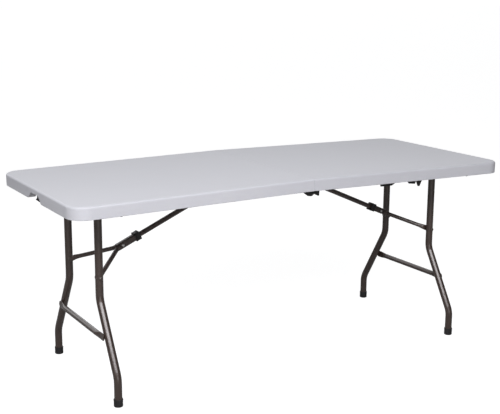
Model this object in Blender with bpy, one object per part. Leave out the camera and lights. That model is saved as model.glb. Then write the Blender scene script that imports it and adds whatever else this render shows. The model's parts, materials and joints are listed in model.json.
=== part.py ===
"""Fold-in-half blow-moulded table with two wishbone leg frames.

The table stands on z = 0 with +X along its length, +Y towards its back side and the
centre seam at x = 0. Each half of the top slopes down from the seam by a small crown
angle. Pieces are built for the right half and the back row; the other half and the
front row are mirror images. Lengths are in metres and angles in radians.
"""

import math

import bmesh
import bpy
from mathutils import Vector

# Top halves, in the flat frame of a half before the crown tilts it
CROWN = math.radians(0.75)
TOP_Z = 0.740
UNDERSIDE_Z = 0.722
SKIRT_Z = 0.695
HALF_LENGTH = 0.9142
HALF_WIDTH = 0.370
SEAM_GAP = 0.0003
SKIRT_WALL = 0.011
CORNER_RADIUS = 0.065
SEAM_CORNER_RADIUS = 0.004
EDGE_ROUND = 0.008
SEAM_ROUND = 0.0012
SKIN = 0.0016
HOLLOW_START = 0.020
HOLLOW_END = 0.880
HOLLOW_HALF_WIDTH = 0.333
VENT_RADIUS = 0.003
VENT_Y = 0.180
RELIEF_HALF_WIDTH = 0.356
RELIEF_Z = 0.702
NOTCH_HALF_WIDTH = 0.063
NOTCH_TOP_HALF_WIDTH = 0.046

# Centre fold
FOLD_Z = 0.686
LEAF_RADIUS = 0.013
FOLD_PIN_RADIUS = 0.0033

# Steel rails along the inside of the long skirts
RAIL_START = 0.030
RAIL_END = 0.800
RAIL_WEB_IN = 0.3505
RAIL_WEB_OUT = 0.352
RAIL_FLANGE_IN = 0.3345
RAIL_TOP = 0.7215
RAIL_BOTTOM = 0.693
RAIL_SHEET = 0.0015
SCREW_Y = 0.342
SCREW_POSITIONS = (0.200, 0.620)
SCREW_RADIUS = 0.002

# Leg frames
AXLE_X = 0.742
AXLE_Z = 0.702
AXLE_RADIUS = 0.0125
STUB_RADIUS = 0.0062
STUB_BORE = 0.0045
LEG_RADIUS = 0.0143
LEG_WALL = 0.0012
LEG_TOP_Y = 0.147
LEG_FOOT_Y = 0.293
UPPER_BEND_Z = 0.344
LOWER_BEND_Z = 0.100
CAP_RADIUS = 0.0169
CAP_HEIGHT = 0.0275
CAP_FLOOR = 0.0033
CROSSBAR_Z = 0.227
CROSSBAR_RADIUS = 0.0105
CROSSBAR_OFFSET = 0.0181
CROSSBAR_FLAT_OFFSET = 0.0171

# Knee braces
STRIP_THICKNESS = 0.0022
ANCHOR_X = 0.094
ANCHOR_Z = 0.707
LEG_BOLT_DROP = 0.2715
LEG_BOLT_RADIUS = 0.004
ANCHOR_PIN_RADIUS = 0.004
KNEE_RIVET_RADIUS = 0.0032
BRACE_RADIUS = 0.0095
ARM_RADIUS = 0.008
TUBE_WALL = 0.0012
CHANNEL_HALF_WIDTH = 0.0115
CHANNEL_BOTTOM = -0.0102
CHANNEL_TOP = 0.0127
CHANNEL_SHEET = 0.0016
CHANNEL_INNER_END = -0.060
CHANNEL_OUTER_END = 0.022
RING_LENGTH = 0.022
RING_STARTS = {1: -0.060, -1: -0.0745}
RING_WALL = 0.0042
RING_GAP = 0.0004

# Carry handle and transport latch
HANDLE_X = 0.881
HANDLE_Z = 0.700
HANDLE_Y = 0.006
HANDLE_REACH = 0.060
HANDLE_HALF_WIDTH = 0.050
HANDLE_ROD = 0.0035
LATCH_X = 0.352
LATCH_Z = 0.700
LATCH_PIN_RADIUS = 0.003
STUD_X = 0.486
STUD_Z = 0.6935

GAP = 0.0003
SIDES = 16
SMALL_SIDES = 12


def clear_scene():
    for item in list(bpy.data.objects):
        bpy.data.objects.remove(item, do_unlink=True)


def make_material(name, colour, roughness, metallic):
    material = bpy.data.materials.new(name)
    material.use_nodes = True
    shader = material.node_tree.nodes["Principled BSDF"]
    shader.inputs["Base Color"].default_value = (*colour, 1.0)
    shader.inputs["Roughness"].default_value = roughness
    shader.inputs["Metallic"].default_value = metallic
    material.diffuse_color = (*colour, 1.0)
    return material


PALETTE = {
    "moulded_top": ((0.57, 0.58, 0.61), 0.45, 0.0),
    "coated_steel": ((0.075, 0.062, 0.058), 0.38, 0.3),
    "black_steel": ((0.018, 0.018, 0.019), 0.45, 0.3),
    "black_plastic": ((0.022, 0.021, 0.022), 0.55, 0.0),
    "zinc": ((0.62, 0.62, 0.61), 0.32, 1.0),
}


def tilted(x, z):
    """A flat-frame point of the right half, as (x, z) once the crown tilts it."""
    rise = z - FOLD_Z
    return (
        x * math.cos(CROWN) + rise * math.sin(CROWN),
        FOLD_Z + rise * math.cos(CROWN) - x * math.sin(CROWN),
    )


AXLE_WORLD = tilted(AXLE_X, AXLE_Z)
ANCHOR_WORLD = tilted(ANCHOR_X, ANCHOR_Z)
BOLT_WORLD = (AXLE_WORLD[0], AXLE_WORLD[1] - LEG_BOLT_DROP)

# The brace is straight when the leg stands, and folded back on itself when it is stowed
BRACE_SPAN = math.dist(ANCHOR_WORLD, BOLT_WORLD)
STOWED_SPAN = math.dist((ANCHOR_X, ANCHOR_Z), (AXLE_X - LEG_BOLT_DROP, AXLE_Z))
YOKE_LENGTH = (BRACE_SPAN - STOWED_SPAN) / 2
TUBE_LENGTH = (BRACE_SPAN + STOWED_SPAN) / 2
BRACE_SLOPE = math.atan2(ANCHOR_WORLD[1] - BOLT_WORLD[1], BOLT_WORLD[0] - ANCHOR_WORLD[0])
KNEE_WORLD = (
    ANCHOR_WORLD[0] + TUBE_LENGTH * math.cos(BRACE_SLOPE),
    ANCHOR_WORLD[1] - TUBE_LENGTH * math.sin(BRACE_SLOPE),
)

# Reference frames of the right half: name, (x, y, z) and turn about Y
FRAMES = {
    "half": ((0.0, 0.0, FOLD_Z), CROWN),
    "leg": ((AXLE_WORLD[0], 0.0, AXLE_WORLD[1]), 0.0),
    "brace": ((ANCHOR_WORLD[0], 0.0, ANCHOR_WORLD[1]), BRACE_SLOPE),
    "knee": ((KNEE_WORLD[0], 0.0, KNEE_WORLD[1]), BRACE_SLOPE),
}
SIDE_NAMES = {1: "right", -1: "left"}
ROW_NAMES = {1: "back", -1: "front"}


def make_empty(name, location, turn, parent=None):
    empty = bpy.data.objects.new(name, None)
    empty.empty_display_size = 0.03
    empty.rotation_euler = (0.0, turn, 0.0)
    empty.location = location
    empty.parent = parent
    bpy.context.scene.collection.objects.link(empty)
    return empty


def make_frames():
    frames = {}
    for side, label in SIDE_NAMES.items():
        for name, ((x, y, z), turn) in FRAMES.items():
            frames[side, name] = make_empty(f"{label}_{name}_axis", (side * x, y, z), side * turn)
    return frames


def mirror(mesh, side, row):
    """Reflects a mesh into the left half and the front row, with its faces kept outward."""
    for vertex in mesh.verts:
        vertex.co.x *= side
        vertex.co.y *= row
    if side * row < 0:
        bmesh.ops.reverse_faces(mesh, faces=mesh.faces)


def add_object(name, mesh, material, parent, side=1, row=1, smooth=True):
    """Links a bmesh, modelled in its parent's frame, as a named object."""
    mirror(mesh, side, row)
    bmesh.ops.recalc_face_normals(mesh, faces=mesh.faces)
    data = bpy.data.meshes.new(name)
    mesh.to_mesh(data)
    mesh.free()
    if smooth:
        data.shade_smooth()
        data.set_sharp_from_angle(angle=math.radians(35))
    item = bpy.data.objects.new(name, data)
    item.parent = parent
    bpy.context.scene.collection.objects.link(item)
    if material is not None:
        piece_material = material.copy()
        piece_material.name = f"{material.name}_{name}"
        data.materials.append(piece_material)
    return item


def cut(item, name, mesh, side=1, row=1):
    """Subtracts a closed bmesh, modelled in the object's own frame, from an object."""
    cutter = add_object(name, mesh, None, item.parent, side, row, smooth=False)
    cutter.hide_render = True
    cutter.display_type = "WIRE"
    modifier = item.modifiers.new(name, "BOOLEAN")
    modifier.operation = "DIFFERENCE"
    modifier.solver = "EXACT"
    modifier.object = cutter


def skin_rings(rings, closed=False):
    """Joins rings of equal length into a body; open ends are filled."""
    mesh = bmesh.new()
    made = [[mesh.verts.new(point) for point in ring] for ring in rings]
    count = len(made[0])
    pairs = list(zip(made, made[1:]))
    if closed:
        pairs.append((made[-1], made[0]))
    for first, second in pairs:
        for i in range(count):
            j = (i + 1) % count
            mesh.faces.new((first[i], first[j], second[j], second[i]))
    if not closed:
        mesh.faces.new(list(reversed(made[0])))
        mesh.faces.new(made[-1])
    return mesh


def oval(centre, across, upright, half_across, half_upright, sides=SIDES):
    """A ring of points around a centre, on the axes across and upright."""
    points = []
    for i in range(sides):
        angle = 2 * math.pi * (i + 0.5) / sides
        points.append(
            centre
            + across * (half_across * math.cos(angle))
            + upright * (half_upright * math.sin(angle))
        )
    return points


def hollow(sections, wall):
    """A tube through oval sections, open at both ends, with a wall of even thickness."""
    outer = [oval(*section) for section in sections]
    inner = [
        oval(centre, across, upright, half_across - wall, half_upright - wall, *sides)
        for centre, across, upright, half_across, half_upright, *sides in sections
    ]
    return skin_rings(outer + inner[::-1], closed=True)


def turned(profile, axis="y", sides=SIDES, centre=(0.0, 0.0, 0.0)):
    """Spins a closed (radius, height) profile about an axis; radius 0 closes an end."""
    mesh = bmesh.new()
    rings = []
    for radius, height in profile:
        ring = []
        for i in range(sides if radius > 0 else 1):
            angle = 2 * math.pi * (i + 0.5) / sides
            a, b = radius * math.cos(angle), radius * math.sin(angle)
            offset = (a, height, b) if axis == "y" else (a, b, height)
            ring.append(mesh.verts.new([c + o for c, o in zip(centre, offset)]))
        rings.append(ring)
    count = len(rings)
    solid = any(len(ring) == 1 for ring in rings)
    for k in range(count - 1 if solid else count):
        first, second = rings[k], rings[(k + 1) % count]
        for i in range(sides):
            j = (i + 1) % sides
            corners = [
                first[i % len(first)],
                first[j % len(first)],
                second[j % len(second)],
                second[i % len(second)],
            ]
            mesh.faces.new(list(dict.fromkeys(corners)))
    return mesh


def plug(radius, low, high, axis="y", centre=(0.0, 0.0, 0.0), sides=SMALL_SIDES):
    """A solid cylinder from low to high along an axis, to cut a hole with."""
    profile = [(0, low), (radius, low), (radius, high), (0, high)]
    return turned(profile, axis, sides, centre)


def prism(outline, axis, low, high):
    """Extrudes a two-axis outline along the third axis."""
    order = {"x": (2, 0, 1), "y": (0, 2, 1), "z": (0, 1, 2)}[axis]
    rings = []
    for level in (low, high):
        rings.append([Vector([(a, b, level)[k] for k in order]) for a, b in outline])
    return skin_rings(rings)


def box(low, high):
    outline = [(low[0], low[1]), (high[0], low[1]), (high[0], high[1]), (low[0], high[1])]
    return prism(outline, "z", low[2], high[2])


def rounded_path(corners, radius, steps):
    """A 2-D polyline whose inner corners are replaced by arcs, as (point, direction) pairs."""
    path = []
    corners = [Vector(corner) for corner in corners]
    path.append((corners[0], (corners[1] - corners[0]).normalized()))
    for before, corner, after in zip(corners, corners[1:], corners[2:]):
        way_in = (corner - before).normalized()
        way_out = (after - corner).normalized()
        turn = way_in.angle_signed(way_out)
        reach = radius * math.tan(abs(turn) / 2)
        side = 1 if turn > 0 else -1
        hub = corner - way_in * reach + Vector((way_in.y, -way_in.x)) * radius * side
        spoke = corner - way_in * reach - hub
        for step in range(steps + 1):
            angle = -turn * step / steps
            cosine, sine = math.cos(angle), math.sin(angle)
            arm = Vector((spoke.x * cosine - spoke.y * sine, spoke.x * sine + spoke.y * cosine))
            way = Vector((
                way_in.x * cosine - way_in.y * sine,
                way_in.x * sine + way_in.y * cosine,
            ))
            path.append((hub + arm, way))
    path.append((corners[-1], (corners[-1] - corners[-2]).normalized()))
    return path


def seam_x(z):
    """Where the seam face is at a height; it stands upright once the crown tilts the half."""
    return SEAM_GAP - (z - FOLD_Z) * math.tan(CROWN)


def half_outline(inset, z):
    """The plan outline of a half; its seam end steps in by less than its other sides."""
    low_x = seam_x(z) + inset * SEAM_ROUND / EDGE_ROUND
    high_x = HALF_LENGTH - inset
    half = HALF_WIDTH - inset
    corners = (
        (high_x, half, CORNER_RADIUS - inset, 0.0, 8),
        (low_x, half, SEAM_CORNER_RADIUS, math.pi / 2, 2),
        (low_x, -half, SEAM_CORNER_RADIUS, math.pi, 2),
        (high_x, -half, CORNER_RADIUS - inset, 3 * math.pi / 2, 8),
    )
    points = []
    for x, y, radius, start, steps in corners:
        hub_x = x - math.copysign(radius, x - (low_x + high_x) / 2)
        hub_y = y - math.copysign(radius, y)
        for step in range(steps + 1):
            angle = start + math.pi / 2 * step / steps
            points.append((hub_x + radius * math.cos(angle), hub_y + radius * math.sin(angle)))
    return points


def half_ring(inset, z):
    return [Vector((x, y, z - FOLD_Z)) for x, y in half_outline(inset, z)]


def inner_ring(inset, z):
    """A ring on the inside of the skirt, an even distance in from all four sides."""
    points = []
    length = HALF_LENGTH - seam_x(z)
    scale_x = (length - 2 * inset) / length
    middle = HALF_LENGTH - length / 2
    for x, y in half_outline(0.0, z):
        scale_y = (HALF_WIDTH - inset) / HALF_WIDTH
        points.append(Vector((middle + (x - middle) * scale_x, y * scale_y, z - FOLD_Z)))
    return points


def top_half(name, material, parent, side):
    """The moulded panel with its skirt, hollow inside, with cut-outs for what folds into it."""
    rings = [
        inner_ring(SKIRT_WALL, UNDERSIDE_Z),
        inner_ring(SKIRT_WALL, SKIRT_Z + 0.0015),
        inner_ring(SKIRT_WALL - 0.0015, SKIRT_Z),
        half_ring(0.0015, SKIRT_Z),
        half_ring(0.0, SKIRT_Z + 0.0015),
    ]
    steps = 4
    for step in range(steps + 1):
        angle = math.pi / 2 * step / steps
        rings.append(
            half_ring(
                EDGE_ROUND * (1 - math.cos(angle)),
                TOP_Z - EDGE_ROUND * (1 - math.sin(angle)),
            )
        )
    item = add_object(name, skin_rings(rings), material, parent, side)

    def local(z):
        return z - FOLD_Z

    cut(item, f"{name}_seam_relief_cutter", box(
        (-0.01, -RELIEF_HALF_WIDTH, -0.05),
        (SKIRT_WALL + 0.001, RELIEF_HALF_WIDTH, local(RELIEF_Z)),
    ), side)
    cut(item, f"{name}_notch_cutter", prism(
        [
            (-NOTCH_HALF_WIDTH - 0.010, local(SKIRT_Z) - 0.010),
            (NOTCH_HALF_WIDTH + 0.010, local(SKIRT_Z) - 0.010),
            (NOTCH_HALF_WIDTH, local(SKIRT_Z) + 0.003),
            (NOTCH_TOP_HALF_WIDTH, local(UNDERSIDE_Z) - 0.0015),
            (-NOTCH_TOP_HALF_WIDTH, local(UNDERSIDE_Z) - 0.0015),
            (-NOTCH_HALF_WIDTH, local(SKIRT_Z) + 0.003),
        ],
        "x", HALF_LENGTH - SKIRT_WALL - 0.010, HALF_LENGTH + 0.020,
    ), side)
    cut(item, f"{name}_hollow_cutter", box(
        (HOLLOW_START, -HOLLOW_HALF_WIDTH, local(UNDERSIDE_Z + SKIN)),
        (HOLLOW_END, HOLLOW_HALF_WIDTH, local(TOP_Z - SKIN)),
    ), side)
    vent = plug(VENT_RADIUS, local(UNDERSIDE_Z) - 0.004, local(UNDERSIDE_Z) + 0.006, "z",
                ((HOLLOW_START + HOLLOW_END) / 2, VENT_Y, 0.0))
    cut(item, f"{name}_vent_cutter", vent, side)
    for row in ROW_NAMES:
        for number, x in enumerate(SCREW_POSITIONS):
            hole = plug(SCREW_RADIUS + GAP, local(UNDERSIDE_Z) - 0.003, local(0.7335), "z",
                        (x, SCREW_Y, 0.0))
            cut(item, f"{name}_screw_hole_{ROW_NAMES[row]}_{number}_cutter", hole, side, row)
    return item


def rail(name, material, parent, side, row):
    """An angle section screwed under the panel; its web carries the leg axle."""
    outline = [
        (RAIL_WEB_OUT, RAIL_BOTTOM), (RAIL_WEB_OUT, RAIL_TOP),
        (RAIL_FLANGE_IN, RAIL_TOP), (RAIL_FLANGE_IN, RAIL_TOP - RAIL_SHEET),
        (RAIL_WEB_IN, RAIL_TOP - RAIL_SHEET), (RAIL_WEB_IN, RAIL_BOTTOM),
    ]
    mesh = prism([(y, z - FOLD_Z) for y, z in outline], "x", RAIL_START, RAIL_END)
    item = add_object(name, mesh, material, parent, side, row, smooth=False)
    bearing = plug(STUB_RADIUS + GAP, 0.345, 0.358, "y", (AXLE_X, 0.0, AXLE_Z - FOLD_Z), SIDES)
    cut(item, f"{name}_bearing_cutter", bearing, side, row)
    for number, x in enumerate(SCREW_POSITIONS):
        hole = plug(SCREW_RADIUS + GAP, 0.030, 0.040, "z", (x, SCREW_Y, 0.0))
        cut(item, f"{name}_screw_hole_{number}_cutter", hole, side, row)
    return item


def rail_screw(name, material, parent, side, row, x):
    """A pan-head screw up through the rail flange into the panel."""
    head = RAIL_TOP - RAIL_SHEET - GAP - FOLD_Z
    profile = [
        (0, head - 0.0025), (0.0030, head - 0.0025), (0.0042, head - 0.0012), (0.0042, head),
        (SCREW_RADIUS, head), (SCREW_RADIUS, head + 0.012), (0, head + 0.0135),
    ]
    mesh = turned(profile, "z", SMALL_SIDES, (x, SCREW_Y, 0.0))
    return add_object(name, mesh, material, parent, side, row)


def arc_points(centre, radius, start, end, steps):
    points = []
    for step in range(steps + 1):
        angle = math.radians(start + (end - start) * step / steps)
        points.append((centre[0] + radius * math.cos(angle), centre[1] + radius * math.sin(angle)))
    return points


def hinge_leaf(name, material, parent, side, row, low_y, stop_tooth):
    """A plate riveted to the rail with a round nose about the fold axis."""
    nose = arc_points((0.0, 0.0), LEAF_RADIUS, 90, 270, 8)
    if stop_tooth:
        lower = [(0.016, -0.0065), (0.033, -0.0145), (0.0375, -0.0140), (0.0385, 0.004)]
    else:
        lower = [(0.014, -0.0105), (0.034, 0.004)]
    body = [(0.086, 0.004), (0.090, 0.008), (0.090, 0.022), (0.086, 0.026), (0.034, 0.026)]
    outline = nose + lower + body + [(0.018, 0.0130)]
    mesh = prism(outline, "y", low_y, low_y + 0.0025)
    item = add_object(name, mesh, material, parent, side, row, smooth=False)
    cut(item, f"{name}_pin_hole_cutter", plug(FOLD_PIN_RADIUS + GAP, 0.33, 0.36), side, row)
    return item


def hinge_pin(name, material, parent, row):
    profile = [
        (0, 0.3405), (0.0060, 0.3405), (0.0075, 0.3415), (0.0075, 0.3438),
        (FOLD_PIN_RADIUS, 0.3438), (FOLD_PIN_RADIUS, 0.3505), (0.0070, 0.3505),
        (0.0070, 0.3525), (0.0055, 0.3538), (0, 0.3538),
    ]
    return add_object(name, turned(profile, "y", SMALL_SIDES), material, parent, 1, row)


def axle(name, material, parent, side):
    """A hollow bar across the half with a reduced stub in the bearing of each rail."""
    end, stub, inside = 0.3490, 0.3545, 0.3460
    bore = AXLE_RADIUS - TUBE_WALL
    half_profile = [
        (AXLE_RADIUS, end), (STUB_RADIUS, end), (STUB_RADIUS, stub), (STUB_BORE, stub),
        (STUB_BORE, inside), (bore, inside),
    ]
    profile = half_profile + [(radius, -y) for radius, y in reversed(half_profile)]
    return add_object(name, turned(profile, "y"), material, parent, side)


def leg_tube(name, material, parent, side, row):
    """A bent tube: straight and close to its twin above, splayed out, then upright at the foot."""
    drop = AXLE_WORLD[1]
    corners = [
        (LEG_TOP_Y, -AXLE_RADIUS - GAP),
        (LEG_TOP_Y, UPPER_BEND_Z - drop),
        (LEG_FOOT_Y, LOWER_BEND_Z - drop),
        (LEG_FOOT_Y, CAP_FLOOR + GAP - drop),
    ]
    path = rounded_path(corners, 0.075, 4)
    sideways = Vector((1.0, 0.0, 0.0))
    sections = []
    for point, way in path:
        across = Vector((0.0, -way.y, way.x))
        centre = Vector((0.0, point.x, point.y))
        sections.append((centre, sideways, across, LEG_RADIUS, LEG_RADIUS))
    item = add_object(name, hollow(sections, LEG_WALL), material, parent, side, row)
    hole = plug(LEG_BOLT_RADIUS + GAP, 0.12, 0.17, "y", (0.0, 0.0, -LEG_BOLT_DROP))
    cut(item, f"{name}_bolt_hole_cutter", hole, side, row)
    return item


def foot_cap(name, material, parent, side, row):
    drop = AXLE_WORLD[1]
    inside = LEG_RADIUS + GAP
    profile = [
        (0, -drop), (CAP_RADIUS - 0.002, -drop), (CAP_RADIUS, 0.002 - drop),
        (CAP_RADIUS, CAP_HEIGHT - 0.0012 - drop), (CAP_RADIUS - 0.0008, CAP_HEIGHT - drop),
        (inside, CAP_HEIGHT - drop), (inside, CAP_FLOOR - drop), (0, CAP_FLOOR - drop),
    ]
    mesh = turned(profile, "z", 20, (0.0, LEG_FOOT_Y, 0.0))
    return add_object(name, mesh, material, parent, side, row)


def crossbar(name, material, parent, side):
    """A round bar whose flattened ends are welded to the outer side of both legs."""
    level = CROSSBAR_Z - AXLE_WORLD[1]
    along_x, upright = Vector((1.0, 0.0, 0.0)), Vector((0.0, 0.0, 1.0))
    stations = [
        (0.2250, CROSSBAR_FLAT_OFFSET, 0.0025, 0.0050),
        (0.2228, CROSSBAR_FLAT_OFFSET, 0.0025, 0.0105),
        (0.2180, CROSSBAR_FLAT_OFFSET, 0.0025, 0.0138),
        (0.1945, CROSSBAR_FLAT_OFFSET, 0.0025, 0.0140),
        (0.1780, CROSSBAR_OFFSET, 0.0065, 0.0118),
        (0.1640, CROSSBAR_OFFSET, CROSSBAR_RADIUS, CROSSBAR_RADIUS),
    ]
    sections = []
    for y, x, half_x, half_z in stations:
        sections.append((Vector((x, y, level)), along_x, upright, half_x, half_z, SMALL_SIDES))
    for y, x, half_x, half_z in reversed(stations):
        sections.append((Vector((x, -y, level)), along_x, upright, half_x, half_z, SMALL_SIDES))
    return add_object(name, hollow(sections, TUBE_WALL), material, parent, side)


def leg_bolt(name, material, parent, side, row):
    """The brace bolt: a domed head on the outer side of a leg and a shank through the tube."""
    outer = LEG_TOP_Y + LEG_RADIUS + GAP
    inner = LEG_TOP_Y - LEG_RADIUS + GAP
    profile = [
        (0, inner), (LEG_BOLT_RADIUS, inner), (LEG_BOLT_RADIUS, outer), (0.0078, outer),
        (0.0078, outer + 0.0012), (0.0058, outer + 0.0036), (0, outer + 0.0046),
    ]
    mesh = turned(profile, "y", SMALL_SIDES, (0.0, 0.0, -LEG_BOLT_DROP))
    return add_object(name, mesh, material, parent, side, row)


def cross_member(name, material, parent, side):
    """The flat strip under the panel that carries the brace anchor."""
    mesh = box(
        (ANCHOR_X - 0.015, -0.334, RAIL_TOP - STRIP_THICKNESS - FOLD_Z),
        (ANCHOR_X + 0.015, 0.334, RAIL_TOP - FOLD_Z),
    )
    return add_object(name, mesh, material, parent, side, smooth=False)


def clevis(name, material, parent, side):
    """A small fork below the strip, in which the brace tube's eye turns."""
    top = RAIL_TOP - STRIP_THICKNESS - GAP - FOLD_Z
    base = top - 0.0022
    low = ANCHOR_Z - 0.010 - FOLD_Z
    outline = [
        (-0.0068, low), (-0.0036, low), (-0.0036, base), (0.0036, base),
        (0.0036, low), (0.0068, low), (0.0068, top), (-0.0068, top),
    ]
    mesh = prism(outline, "x", ANCHOR_X - 0.011, ANCHOR_X + 0.011)
    item = add_object(name, mesh, material, parent, side, smooth=False)
    hole = plug(ANCHOR_PIN_RADIUS + GAP, -0.02, 0.02, "y", (ANCHOR_X, 0.0, ANCHOR_Z - FOLD_Z))
    cut(item, f"{name}_pin_hole_cutter", hole, side)
    return item


def headed_pin(name, material, parent, side, shank, head, reach, thickness, centre):
    """A rivet along Y with a low head at each end."""
    profile = [
        (0, -reach - thickness), (head * 0.7, -reach - thickness), (head, -reach - thickness / 2),
        (head, -reach), (shank, -reach), (shank, reach), (head, reach),
        (head, reach + thickness / 2), (head * 0.7, reach + thickness), (0, reach + thickness),
    ]
    return add_object(name, turned(profile, "y", SMALL_SIDES, centre), material, parent, side)


def brace_tube(name, material, parent, side):
    """The upper brace: a flattened eye at the anchor and a plain end in the knee channel."""
    along_y, upright = Vector((0.0, 1.0, 0.0)), Vector((0.0, 0.0, 1.0))
    stations = [
        (-0.0088, 0.0025, 0.0040), (-0.0062, 0.0025, 0.0072), (0.0, 0.0025, 0.0086),
        (0.0120, 0.0025, 0.0086), (0.0400, BRACE_RADIUS, BRACE_RADIUS),
        (TUBE_LENGTH + 0.005, BRACE_RADIUS, BRACE_RADIUS),
    ]
    sections = []
    for x, half_y, half_z in stations:
        sections.append((Vector((x, 0.0, 0.0)), along_y, upright, half_y, half_z, SMALL_SIDES))
    item = add_object(name, hollow(sections, TUBE_WALL), material, parent, side)
    pins = (("anchor", 0.0, ANCHOR_PIN_RADIUS), ("knee", TUBE_LENGTH, KNEE_RIVET_RADIUS))
    for label, x, radius in pins:
        hole = plug(radius + GAP, -0.02, 0.02, "y", (x, 0.0, 0.0))
        cut(item, f"{name}_{label}_hole_cutter", hole, side)
    return item


def knee_channel(name, material, parent, side):
    """The channel of the knee, closed on top and open below, that houses the tube end."""
    half, sheet = CHANNEL_HALF_WIDTH, CHANNEL_SHEET
    bevel = 0.0024
    outline = [
        (half, CHANNEL_BOTTOM), (half, CHANNEL_TOP - bevel), (half - bevel, CHANNEL_TOP),
        (-half + bevel, CHANNEL_TOP), (-half, CHANNEL_TOP - bevel), (-half, CHANNEL_BOTTOM),
        (-half + sheet, CHANNEL_BOTTOM), (-half + sheet, CHANNEL_TOP - sheet),
        (half - sheet, CHANNEL_TOP - sheet), (half - sheet, CHANNEL_BOTTOM),
    ]
    mesh = prism(outline, "x", CHANNEL_INNER_END, CHANNEL_OUTER_END)
    item = add_object(name, mesh, material, parent, side, smooth=False)
    cut(item, f"{name}_rivet_hole_cutter", plug(KNEE_RIVET_RADIUS + GAP, -0.02, 0.02), side)
    return item


def yoke_arm(name, material, parent, side, row):
    """A round arm from the side of the channel to the inner side of a leg, flat at both ends."""
    flat = 0.002
    near_y = CHANNEL_HALF_WIDTH + GAP + flat
    far_y = LEG_TOP_Y - LEG_RADIUS - 0.0007 - flat
    corners = [
        (0.0080, near_y), (0.0335, near_y), (YOKE_LENGTH - 0.018, far_y),
        (YOKE_LENGTH + 0.012, far_y),
    ]
    path = rounded_path(corners, 0.030, 3)
    total = len(path)
    upright = Vector((0.0, 0.0, 1.0))
    flat_halves = {0: (flat, 0.0085), 1: (flat, 0.0100), total - 2: (flat, 0.0110),
                   total - 1: (flat, 0.0070)}
    sections = []
    for index, (point, way) in enumerate(path):
        across = Vector((-way.y, way.x, 0.0))
        half_across, half_up = flat_halves.get(index, (ARM_RADIUS, ARM_RADIUS))
        if index in (2, total - 3):
            half_across, half_up = 0.0042, 0.0098
        centre = Vector((point.x, point.y, 0.0))
        sections.append((centre, across, upright, half_across, half_up, SMALL_SIDES))
    item = add_object(name, hollow(sections, TUBE_WALL), material, parent, side, row)
    eye = plug(LEG_BOLT_RADIUS + 0.0005, far_y - 0.01, far_y + 0.01, "y", (YOKE_LENGTH, 0.0, 0.0))
    cut(item, f"{name}_eye_cutter", eye, side, row)
    return item


def rounded_box_outline(half_a, low_b, high_b, radius, steps=3):
    points = []
    for a, b, start in (
        (half_a - radius, high_b - radius, 0), (-half_a + radius, high_b - radius, 90),
        (-half_a + radius, low_b + radius, 180), (half_a - radius, low_b + radius, 270),
    ):
        points += arc_points((a, b), radius, start, start + 90, steps)
    return points


def lock_ring(name, material, parent, side):
    """The sliding sleeve that holds tube and channel in line; each sits where it was pushed."""
    inner_half = CHANNEL_HALF_WIDTH + RING_GAP
    inner_low, inner_high = CHANNEL_BOTTOM - RING_GAP, CHANNEL_TOP + RING_GAP
    inner = rounded_box_outline(inner_half, inner_low, inner_high, 0.0006)
    outer = rounded_box_outline(
        inner_half + RING_WALL, inner_low - RING_WALL, inner_high + RING_WALL, 0.0040
    )
    low_x, high_x = RING_STARTS[side], RING_STARTS[side] + RING_LENGTH
    rings = []
    for outline, x in ((outer, low_x), (outer, high_x), (inner, high_x), (inner, low_x)):
        rings.append([Vector((x, y, z)) for y, z in outline])
    return add_object(name, skin_rings(rings, closed=True), material, parent, side)


def handle_mount(name, material, parent, side):
    """A moulded block behind the hand notch, with one sloped flank, that holds the handle."""
    low, top = 0.6895 - FOLD_Z, UNDERSIDE_Z - GAP - FOLD_Z
    outline = [
        (HANDLE_Y - 0.020, low + 0.004), (HANDLE_Y - 0.016, low), (HANDLE_Y + 0.004, low),
        (HANDLE_Y + 0.018, low + 0.009), (HANDLE_Y + 0.018, top), (HANDLE_Y - 0.020, top),
    ]
    mesh = prism(outline, "x", HANDLE_X - 0.010, HANDLE_X + 0.015)
    item = add_object(name, mesh, material, parent, side, smooth=False)
    hole = plug(HANDLE_ROD + GAP, -HANDLE_HALF_WIDTH, HANDLE_HALF_WIDTH, "y",
                (HANDLE_X, 0.0, HANDLE_Z - FOLD_Z))
    cut(item, f"{name}_rod_hole_cutter", hole, side)
    return item


def handle_loop(name, material, parent, side):
    """A closed wire loop that turns in the mount."""
    corner = 0.012
    rings = []
    for x, y, start in (
        (-corner, HANDLE_HALF_WIDTH - corner, 0),
        (-HANDLE_REACH + corner, HANDLE_HALF_WIDTH - corner, 90),
        (-HANDLE_REACH + corner, -HANDLE_HALF_WIDTH + corner, 180),
        (-corner, -HANDLE_HALF_WIDTH + corner, 270),
    ):
        for step in range(4):
            angle = math.radians(start + 30 * step)
            outward = Vector((math.cos(angle), math.sin(angle), 0.0))
            centre = Vector((x, y + HANDLE_Y, 0.0)) + outward * corner
            rings.append(oval(centre, outward, Vector((0, 0, 1)), HANDLE_ROD, HANDLE_ROD, 8))
    return add_object(name, skin_rings(rings, closed=True), material, parent, side)


def latch_hook(name, material, parent):
    """The transport hook: a flat lever with a catch slot and a barbed nose."""
    outline = [
        (0.318, 0.6822), (0.370, 0.6822), (0.392, 0.6940), (0.444, 0.6930), (0.4530, 0.6830),
        (0.4830, 0.6798), (0.4860, 0.6885), (0.4890, 0.6885), (0.4985, 0.6692),
        (0.5060, 0.6692), (0.5160, 0.6900), (0.5130, 0.7030), (0.3800, 0.7090), (0.3300, 0.7100),
        (0.3160, 0.7020), (0.3160, 0.6840),
    ]
    mesh = prism([(x - LATCH_X, z - LATCH_Z) for x, z in outline], "y", 0.3465, 0.3495)
    item = add_object(name, mesh, material, parent, 1, -1, smooth=False)
    cut(item, f"{name}_pin_hole_cutter", plug(LATCH_PIN_RADIUS + GAP, 0.33, 0.36), 1, -1)
    return item


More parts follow.
